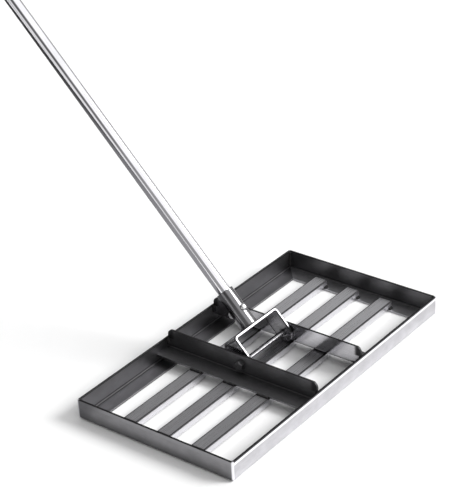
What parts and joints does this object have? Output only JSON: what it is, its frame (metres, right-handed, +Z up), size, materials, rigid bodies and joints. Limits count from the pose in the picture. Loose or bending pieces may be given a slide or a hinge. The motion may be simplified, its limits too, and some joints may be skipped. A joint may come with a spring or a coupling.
{
  "type": "lawn leveling rake",
  "caption": "Flat steel grid head with an upright rim and open slats, drawn over loose soil to level it, with a long sectioned tube handle on a swinging stirrup.",
  "frame": {"origin": "on the ground, below the middle of the pivot bolt, which is the middle of the head's footprint", "axes": "+X along the head and the pivot bolt towards the bolt's head, +Y to the front, away from the handle's lean, +Z up"},
  "size_m": [0.48, 1.4021, 1.334],
  "materials": {
    "rail_steel": "brushed, semi bright",
    "slat_steel": "brushed, semi bright",
    "bar_steel": "brushed, dark",
    "weld_steel": "wire brushed weld",
    "strap_steel": "ground, bright edges",
    "tube_steel": "polished",
    "fastener_steel": "bright zinc",
    "collar_plastic": "fine moulded grain",
    "grip_rubber": "matt"
  },
  "bodies": {
    "head": {"front_rail": "rail_steel", "rear_rail": "rail_steel", "right_end_rail": "rail_steel", "left_end_rail": "rail_steel", "rear_slat": "slat_steel", "middle_slat": "slat_steel", "front_slat": "slat_steel", "right_cross_bar": "bar_steel", "left_cross_bar": "bar_steel", "corner_welds": "weld_steel", "slat_welds": "weld_steel", "cross_bar_welds": "weld_steel", "pivot_bolt": "fastener_steel", "pivot_washers": "fastener_steel", "pivot_nut": "fastener_steel", "pivot_spacers": "fastener_steel"},
    "handle": {"stirrup": "strap_steel", "handle_socket": "strap_steel", "socket_weld": "weld_steel", "socket_bolt": "fastener_steel", "socket_nut": "fastener_steel", "lower_tube": "tube_steel", "middle_tube": "tube_steel", "upper_tube": "tube_steel", "joint_spigots": "tube_steel", "lower_collar": "collar_plastic", "upper_collar": "collar_plastic", "collar_bolts": "fastener_steel", "collar_nuts": "fastener_steel", "grip": "grip_rubber", "end_cap": "collar_plastic"}
  },
  "joints": [
    {"name": "handle_pivot", "type": "hinge", "parent": "head", "child": "handle", "pos_m": [0, 0, 0.028], "axis": [1, 0, 0], "range_deg": [-127, 38.5]}
  ]
}
